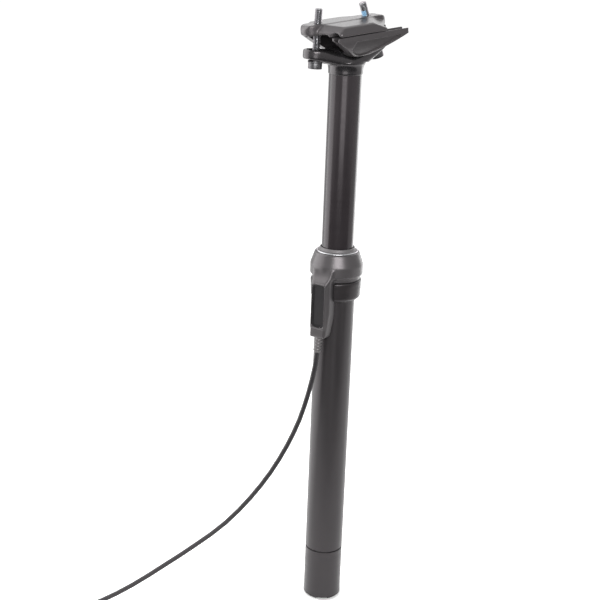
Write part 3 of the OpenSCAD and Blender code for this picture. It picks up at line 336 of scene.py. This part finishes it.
def turned(name, outline, around):
    """Turned piece about the post's axis: a circle, extruded along the corners of its half section."""
    first_r, first_z = outline[0]
    bpy.ops.object.select_all(action="DESELECT")
    bpy.ops.mesh.primitive_circle_add(vertices=around, radius=first_r * mm, location=(0, 0, first_z * mm))
    piece = bpy.context.object
    piece.name = name
    bpy.ops.object.transform_apply(location=True, rotation=True, scale=True)
    bpy.ops.object.mode_set(mode="EDIT")
    bpy.ops.mesh.select_all(action="SELECT")
    for (from_r, from_z), (to_r, to_z) in zip(outline, outline[1:] + outline[:1]):
        bpy.ops.mesh.extrude_edges_move(TRANSFORM_OT_translate={"value": (0, 0, (to_z - from_z) * mm)})
        widen = to_r / from_r
        bpy.ops.transform.resize(value=(widen, widen, 1), center_override=(0, 0, to_z * mm))
    bpy.ops.mesh.select_all(action="SELECT")
    bpy.ops.mesh.remove_doubles(threshold=weld_gap)
    bpy.ops.mesh.normals_make_consistent(inside=False)
    bpy.ops.object.mode_set(mode="OBJECT")
    bpy.ops.object.shade_smooth_by_angle(angle=math.radians(30))
    return piece


post_r = 12.5
bore_r = 13.3
tube_r = 15.45
seat_r = 14.95
tube_foot = 45.1
foot_bevel = 0.15
pivot_z = 262
shoulder_z = 265
tube_top = 294.5
lower_tube = turned("lower_tube", [
    (bore_r, tube_foot), (tube_r - foot_bevel, tube_foot), (tube_r, tube_foot + foot_bevel),
    (tube_r, pivot_z - 12), (tube_r, shoulder_z), (seat_r, shoulder_z),
    (seat_r, tube_top), (bore_r, tube_top),
], 128)


def pick(piece):
    """Selects one piece alone and makes it the active one."""
    bpy.ops.object.select_all(action="DESELECT")
    piece.select_set(True)
    bpy.context.view_layer.objects.active = piece


def cut_slot(piece, turn, width, reach, low, high):
    """Straight-sided slot in a turned piece's wall, from inside its bore out to the given reach."""
    middle = Vector(((post_r + reach) / 2, 0, (low + high) / 2)) * mm
    bpy.ops.mesh.primitive_cube_add(size=1)
    cutter = bpy.context.object
    size = Matrix.Diagonal(((reach - post_r) * mm, width * mm, (high - low) * mm, 1))
    cutter.matrix_world = Matrix.Rotation(turn, 4, "Z") @ Matrix.Translation(middle) @ size
    slot = piece.modifiers.new("slot", "BOOLEAN")
    slot.operation = "DIFFERENCE"
    slot.object = cutter
    pick(piece)
    bpy.ops.object.modifier_apply(modifier="slot")
    pick(cutter)
    bpy.ops.object.delete()


housing_turn = math.radians(207)
key_turns = [math.radians(60), math.radians(180), math.radians(300)]
slot_foot = tube_foot - 1
key_slot_w = 3.1
key_slot_r = bore_r + 0.95
key_slot_top = pivot_z - 1
link_slot_w = 1.7
link_slot_r = bore_r + 1.2
link_slot_top = pivot_z + 3.6
window_w = 4.4
window_r = 18
window_foot = pivot_z - 3.4
window_top = pivot_z + 4.6
for key_turn in key_turns:
    cut_slot(lower_tube, housing_turn + key_turn, key_slot_w, key_slot_r, slot_foot, key_slot_top)
cut_slot(lower_tube, housing_turn, link_slot_w, link_slot_r, slot_foot, link_slot_top)
cut_slot(lower_tube, housing_turn, window_w, window_r, window_foot, window_top)
pick(lower_tube)
bpy.ops.object.shade_smooth_by_angle(angle=math.radians(30))
lower_tube.data.materials.append(tube_black)
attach(lower_tube, "base")
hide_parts("outer_tube")

# Base inside: plug, nut, hollow rod, rocker and the valve pin under the rod.
# The nut and rod are steel and the bumper is rubber; the plug wears the cap's black as painted shade, so
# the seam over it reads dark.
rubber_black = finish(
    "rubber_black", (0.030, 0.029, 0.029), (0.045, 0.044, 0.044), 0.5, 0.7, 500, (1, 1, 1), 0.00003,
    shine=0.3,
)
turned_brass = finish(
    "turned_brass", (0.56, 0.42, 0.18), (0.72, 0.56, 0.28), 0.22, 0.36, 500, (1, 1, 8), 0.00001, metal=1.0,
)
dress(fitting_alloy, "cartridge_seal_head", "cartridge_cap", "floating_piston")
dress(ground_steel, "rod_nut", "piston_rod", "rocker_pin", "base_rocker", "valve_pin")
dress(ground_steel, "link_wire", "cartridge_body")
dress(rubber_black, "bottom_bumper", "piston_ring", "rod_seal", "top_out_bumper", "floating_piston_ring")
dress(turned_brass, "piston", "guide_keys")

# Bushes and felt: plain polymer bearings round the post and an oiled felt ring under the wiper.
# They are pressed into the lower tube and onto the post's foot.
bush_polymer = finish(
    "bush_polymer", (0.24, 0.22, 0.18), (0.34, 0.31, 0.26), 0.4, 0.55, 400, (1, 1, 4), 0.00001,
)
oiled_felt = finish(
    "oiled_felt", (0.10, 0.10, 0.09), (0.20, 0.20, 0.18), 0.8, 0.95, 1500, (1, 1, 1), 0.0001,
    shine=0.2, detail=8.0,
)
dress(bush_polymer, "upper_bushing", "lower_bushing")
dress(oiled_felt, "foam_ring")


# Collar and release housing: one die-cast shell, blasted and black anodised, which screws over
# the tube's mouth; its corners are rounded by the tool, so the CAD form is softened all over.
def own_copy(name, node):
    """New piece from a node's own mesh, welded, with no materials or stored normals."""
    piece = bpy.data.objects.new(name, nodes[node].data.copy())
    scene.collection.objects.link(piece)
    piece.data.materials.clear()
    pick(piece)
    bpy.ops.object.mode_set(mode="EDIT")
    bpy.ops.mesh.select_all(action="SELECT")
    bpy.ops.mesh.remove_doubles(threshold=weld_gap)
    bpy.ops.mesh.customdata_custom_splitnormals_clear()
    bpy.ops.object.mode_set(mode="OBJECT")
    return piece


def cast_form(name, node, voxel, rounds, body):
    """Softened stand-in for a node: its own mesh, remeshed finely and smoothed."""
    piece = own_copy(name, node)
    skin = piece.modifiers.new("cast_skin", "REMESH")
    skin.mode = "VOXEL"
    skin.voxel_size = voxel
    skin.use_smooth_shade = True
    bpy.ops.object.modifier_apply(modifier="cast_skin")
    soft = piece.modifiers.new("tool_radius", "SMOOTH")
    soft.factor = 0.5
    soft.iterations = rounds
    bpy.ops.object.modifier_apply(modifier="tool_radius")
    bpy.ops.object.shade_smooth()
    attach(piece, body)
    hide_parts(node)
    return piece


cast_black = finish(
    "cast_black", (0.022, 0.0207, 0.0213), (0.033, 0.031, 0.032), 0.3, 0.4, 1300, (1, 1, 1), 0.00002,
)
collar_housing = cast_form("collar_housing", "actuator_housing", 0.4 * mm, 8, "base")
collar_housing.data.materials.append(cast_black)
housing_dir = Vector((math.cos(housing_turn), math.sin(housing_turn), 0))


def round_more(piece, weights, rounds):
    """Softens a cast piece further where the weights say so."""
    group = piece.vertex_groups.new(name="round_more")
    for spot, weight in zip(piece.data.vertices, weights):
        if weight > 0:
            group.add([spot.index], weight, "REPLACE")
    soft = piece.modifiers.new("round_more", "SMOOTH")
    soft.factor = 0.5
    soft.iterations = rounds
    soft.vertex_group = "round_more"
    pick(piece)
    bpy.ops.object.modifier_apply(modifier="round_more")


shoulder_out = (17.5 * mm, 20.5 * mm)
shoulder_foot = (275 * mm, 281 * mm)
shoulder_head = (289 * mm, 295 * mm)
shoulder = []
for spot in collar_housing.data.vertices:
    proud = eased(spot.co.dot(housing_dir), *shoulder_out)
    height = eased(spot.co.z, *shoulder_foot) * (1 - eased(spot.co.z, *shoulder_head))
    shoulder.append(proud * height)
round_more(collar_housing, shoulder, 60)

housing_side = Vector((-housing_dir.y, housing_dir.x, 0))
cover_spots = [spot.co for spot in nodes["housing_cover"].data.vertices]
cover_half = max(abs(spot.dot(housing_side)) for spot in cover_spots)
cover_low = min(spot.z for spot in cover_spots)
cover_high = max(spot.z for spot in cover_spots)
lip_h = 0.5 * mm
lip_inside = (-0.2 * mm, 0.5 * mm)
lip_outside = (0.9 * mm, 1.7 * mm)
face_out = (23 * mm, 24.5 * mm)
for spot in collar_housing.data.vertices:
    beyond_side = abs(spot.co.dot(housing_side)) - cover_half
    beyond_end = max(cover_low - spot.co.z, spot.co.z - cover_high)
    beyond = max(beyond_side, beyond_end)
    lip = eased(beyond, *lip_inside) * (1 - eased(beyond, *lip_outside))
    face = eased(spot.co.dot(housing_dir), *face_out)
    spot.co += lip_h * lip * face * housing_dir
collar_housing.data.update()
ring_black = finish(
    "ring_black", (0.009, 0.008, 0.0085), (0.014, 0.0125, 0.013), 0.28, 0.4, 420, (0.05, 0.05, 1), 0.000006,
    shine=0.28,
)
dress(ring_black, "lower_collar")


def ease_edges(name, width, angle=35):
    """Small bevel on the sharp edges of a carried-over node, as a modifier over its welded mesh."""
    weld = nodes[name].modifiers.new("weld", "WELD")
    weld.merge_threshold = weld_gap
    bevel = nodes[name].modifiers.new("eased_edges", "BEVEL")
    bevel.width = width
    bevel.segments = 2
    bevel.limit_method = "ANGLE"
    bevel.angle_limit = math.radians(angle)
    bevel.harden_normals = True


ease_edges("lower_collar", 0.3 * mm)

# Cover of the lever's cavity: moulded plastic pad, pressed into the housing's face,
# and the small steel parts of the lever behind it.
pad_plastic = finish(
    "pad_plastic", (0.004, 0.004, 0.0045), (0.008, 0.008, 0.0085), 0.34, 0.48, 1200, (1, 1, 1), 0.00002,
    shine=0.25,
)
dress(pad_plastic, "housing_cover")
ease_edges("housing_cover", 0.35 * mm)
dress(ground_steel, "lever_pivot_pin", "lever_return_spring", "actuator_lever", "release_wire")

# Wiper and retaining ring: black nitrile lip that scrapes the post clean as it drops,
# held in the collar's mouth by a bright spring ring.
wiper_rubber = finish(
    "wiper_rubber", (0.060, 0.058, 0.059), (0.085, 0.082, 0.083), 0.42, 0.58, 500, (1, 1, 1), 0.00002,
)
dress(wiper_rubber, "wiper_seal")
bright_ring = finish(
    "bright_ring", (0.27, 0.27, 0.28), (0.38, 0.38, 0.39), 0.28, 0.38, 500, (1, 1, 6), 0.000004, metal=1.0,
)
dress(bright_ring, "seal_retaining_ring")

# Boot: ribbed rubber sleeve on the cable where it enters the housing's chin.
# It keeps dirt out and lets the casing bend gently at its end.
boot_rubber = finish(
    "boot_rubber", (0.055, 0.053, 0.053), (0.080, 0.077, 0.077), 0.3, 0.42, 700, (1, 1, 1), 0.00002,
)
boot_long = 14.7
boot_bore = 1.95
lip_r = 2.5
neck_r = 2.6
rib_r = 3.25
waist_r = 2.35
first_rib = 1.2
rib_pitch = 2.6
rib_count = 4
boot_line = [(boot_bore, 0), (lip_r, 0), (lip_r, 1.0)]
for rib in range(rib_count):
    low = first_rib + rib_pitch * rib
    boot_line += [(neck_r, low), (rib_r, low + 0.3), (rib_r, low + 1.1), (neck_r, low + 1.4)]
    boot_line.append((waist_r, low + 2.0))
boot_line += [(neck_r, 12.4), (neck_r, boot_long), (boot_bore, boot_long)]
ribbed_boot = turned("ribbed_boot", boot_line, 48)
ribbed_boot.data.materials.append(boot_rubber)
boot_tilt = Vector((0, 0, 1)).rotation_difference(-exit_dir).to_matrix().to_4x4()
ribbed_boot.matrix_world = Matrix.Translation(boot_end) @ boot_tilt
bpy.ops.object.transform_apply(location=True, rotation=True, scale=True)
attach(ribbed_boot, "base")
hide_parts("cable_boot")

# Post: drawn aluminium tube, ground and hard anodised to a glossy black.
# It slides through the wiper and carries the head, whose neck begins at its top.
post_black = finish(
    "post_black", (0.012, 0.010, 0.011), (0.017, 0.0145, 0.016), 0.16, 0.24, 500, (0.04, 0.04, 1), 0.000003,
    shine=0.28,
)
neck_lift = 3.6 * mm
post_end = 433 * mm
sliding_post = own_copy("sliding_post", "stanchion")
sliding_post.data.materials.append(post_black)
for spot in sliding_post.data.vertices:
    if spot.co.z > post_end:
        spot.co.z += neck_lift
bpy.ops.object.shade_smooth_by_angle(angle=math.radians(30))
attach(sliding_post, "post")
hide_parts("stanchion")

# Head: forged and bonded into the post, with an ear for each clamp bolt, black and fairly glossy.
# The ears are drawn out round by the forging dies, and the neck flares from the post's top.
forged_black = finish(
    "forged_black", (0.005, 0.005, 0.0055), (0.010, 0.0095, 0.010), 0.2, 0.3, 260, (1, 1, 1), 0.00003,
    shine=0.45,
)
forged_head = cast_form("forged_head", "head", 0.45 * mm, 26, "post")
forged_head.data.materials.append(forged_black)
ear_foot = (448 * mm, 450 * mm)
ear_out = (10 * mm, 13 * mm)
ears = [
    eased(spot.co.z, *ear_foot) * eased(abs(spot.co.x), *ear_out) for spot in forged_head.data.vertices
]
round_more(forged_head, ears, 60)
neck_edge = (15.6 * mm, 17.6 * mm)
neck_top = (445.5 * mm, 451.5 * mm)
for spot in forged_head.data.vertices:
    near = 1 - eased(math.hypot(spot.co.x, spot.co.y), *neck_edge)
    spot.co.z += neck_lift * near * (1 - eased(spot.co.z, *neck_top))
forged_head.data.update()

# Rail clamp: forged cradle and top plate that close round the saddle rails.
# Both are satin black; the cradle's side pockets keep the rough skin of the forging.
clamp_black = finish(
    "clamp_black", (0.018, 0.0165, 0.017), (0.028, 0.026, 0.027), 0.3, 0.42, 900, (1, 1, 1), 0.00002,
)
rail_cradle = cast_form("rail_cradle", "lower_cradle", 0.34 * mm, 5, "rail_clamp")
rail_cradle.data.materials.append(clamp_black)
pocket_skin = finish(
    "pocket_skin", (0.006, 0.0055, 0.0058), (0.020, 0.0185, 0.019), 0.5, 0.72, 1500, (1, 1, 1), 0.0001,
    detail=7.0,
)
rail_cradle.data.materials.append(pocket_skin)
clamp_pitch = math.radians(7)
clamp_z = 472 * mm
bow_y = 11.6 * mm
bow_drop = 3 * mm
bow_near = 13.2 * mm
bow_far = 14.5 * mm
pocket_top = -4.2 * mm
belly_r = 15.8 * mm
tail_start = 6 * mm
for face in rail_cradle.data.polygons:
    up = face.center.z - clamp_z
    back = face.center.x * math.cos(clamp_pitch) + up * math.sin(clamp_pitch)
    rise = up * math.cos(clamp_pitch) - face.center.x * math.sin(clamp_pitch)
    bow = math.hypot(abs(face.center.y) - bow_y, rise + bow_drop)
    belly = math.hypot(back, rise) < belly_r or back > tail_start
    if bow_near < bow < bow_far and rise < pocket_top and belly:
        face.material_index = 1
rail_plate = cast_form("rail_plate", "top_clamp", 0.4 * mm, 45, "rail_clamp")
rail_plate.data.materials.append(clamp_black)

# Clamp bolts: M6 socket screws in black oxide steel, threaded along the whole shank, heads down
# under the ears on rocking washers; the rear one carries a patch of blue thread lock.
screw_steel = finish(
    "screw_steel", (0.12, 0.12, 0.125), (0.26, 0.26, 0.27), 0.22, 0.36, 700, (1, 1, 1), 0.00001, metal=0.9,
)
screw_tree = screw_steel.node_tree
screw_shader = screw_tree.nodes["Principled BSDF"]
lock_mask = screw_tree.nodes.new("ShaderNodeAttribute")
lock_mask.attribute_name = "lock_patch"
lock_tone = screw_tree.nodes.new("ShaderNodeMix")
lock_tone.data_type = "RGBA"
lock_tone.inputs["B"].default_value = (0.17, 0.31, 0.44, 1)
screw_tree.links.new(lock_mask.outputs["Fac"], lock_tone.inputs["Factor"])
screw_tree.links.new(screw_tree.nodes["tone"].outputs["Result"], lock_tone.inputs["A"])
screw_tree.links.new(lock_tone.outputs["Result"], screw_shader.inputs["Base Color"])
lock_metal = screw_tree.nodes.new("ShaderNodeMapRange")
lock_metal.inputs["To Min"].default_value = 0.9
lock_metal.inputs["To Max"].default_value = 0.0
screw_tree.links.new(lock_mask.outputs["Fac"], lock_metal.inputs["Value"])
screw_tree.links.new(lock_metal.outputs["Result"], screw_shader.inputs["Metallic"])

thread_pitch = 1.0 * mm
thread_top = 10.6 * mm
head_under = -28.85 * mm
head_low = -33.35 * mm
crest_r = 2.97 * mm
root_r = 2.4 * mm
tip_bevel = 0.8 * mm
crest_slope = 1.6
root_land = 0.3
thread_rings = 240
ring_step = (thread_top - head_under) / thread_rings
bpy.ops.object.select_all(action="DESELECT")
bpy.ops.mesh.primitive_circle_add(
    vertices=36, radius=crest_r, fill_type="NGON", location=(0, 0, head_under),
)
front_screw = bpy.context.object
front_screw.name = "front_screw"
front_screw.data.materials.append(screw_steel)
bpy.ops.object.transform_apply(location=True, rotation=True, scale=True)
bpy.ops.object.mode_set(mode="EDIT")
bpy.ops.mesh.select_all(action="SELECT")
for ring in range(thread_rings):
    bpy.ops.mesh.extrude_region_move(TRANSFORM_OT_translate={"value": (0, 0, ring_step)})
bpy.ops.mesh.select_all(action="SELECT")
bpy.ops.mesh.normals_make_consistent(inside=False)
bpy.ops.object.mode_set(mode="OBJECT")
for spot in front_screw.data.vertices:
    around = math.atan2(spot.co.y, spot.co.x) / (2 * math.pi)
    climb = (spot.co.z / thread_pitch - around) % 1
    crest = min(1, max(0, crest_slope * abs(2 * climb - 1) - root_land))
    tip_r = crest_r - max(0, spot.co.z - thread_top + tip_bevel)
    wanted = min(root_r + (crest_r - root_r) * crest, tip_r)
    spot.co.x *= wanted / crest_r
    spot.co.y *= wanted / crest_r

oxide_steel = finish(
    "oxide_steel", (0.05, 0.05, 0.052), (0.09, 0.09, 0.092), 0.28, 0.42, 600, (1, 1, 1), 0.00001, metal=0.9,
)
head_h = head_under - head_low
head_r = 5.2 * mm
hex_r = 2.887 * mm
hex_long = 5.2 * mm
bpy.ops.mesh.primitive_cylinder_add(
    vertices=64, radius=head_r, depth=head_h, location=(0, 0, head_low + head_h / 2),
)
screw_head = bpy.context.object
screw_head.data.materials.append(oxide_steel)
rim = screw_head.modifiers.new("rim", "BEVEL")
rim.width = 0.4 * mm
rim.segments = 3
rim.limit_method = "ANGLE"
rim.angle_limit = math.radians(50)
bpy.ops.object.modifier_apply(modifier="rim")
bpy.ops.mesh.primitive_cylinder_add(vertices=6, radius=hex_r, depth=hex_long, location=(0, 0, head_low))
hex_key = bpy.context.object
socket = screw_head.modifiers.new("socket", "BOOLEAN")
socket.operation = "DIFFERENCE"
socket.object = hex_key
pick(screw_head)
bpy.ops.object.modifier_apply(modifier="socket")
pick(hex_key)
bpy.ops.object.delete()
screw_head.select_set(True)
front_screw.select_set(True)
bpy.context.view_layer.objects.active = front_screw
bpy.ops.object.join()
bpy.ops.object.shade_smooth_by_angle(angle=math.radians(40))

bpy.ops.object.duplicate(linked=False)
rear_screw = bpy.context.object
rear_screw.name = "rear_screw"
lock_patch = rear_screw.data.attributes.new("lock_patch", "FLOAT", "POINT")
lock_side = math.radians(196)
lock_middle = 2.4 * mm
lock_half = 2.2 * mm
for spot, patch in zip(rear_screw.data.vertices, lock_patch.data):
    off = math.cos(math.atan2(spot.co.y, spot.co.x) - lock_side)
    height = abs(spot.co.z - lock_middle) / lock_half
    patch.value = min(1, max(0, 6 * (off - 0.4))) * min(1, max(0, 4 * (1 - height)))

clamp_place = Matrix.Translation((0, 0, clamp_z)) @ Matrix.Rotation(-clamp_pitch, 4, "Y")
seat_z = 9.2 * mm
for screw, along, splay, body, node in (
    (front_screw, -25, 9, "front_bolt_set", "front_bolt"),
    (rear_screw, 17.1, -14.5, "rear_bolt_set", "rear_bolt"),
):
    seat = Matrix.Translation((along * mm, 0, seat_z)) @ Matrix.Rotation(math.radians(splay), 4, "Y")
    screw.matrix_world = clamp_place @ seat
    pick(screw)
    bpy.ops.object.transform_apply(location=True, rotation=True, scale=True)
    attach(screw, body)
    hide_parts(node)
dress(oxide_steel, "front_washer", "rear_washer")
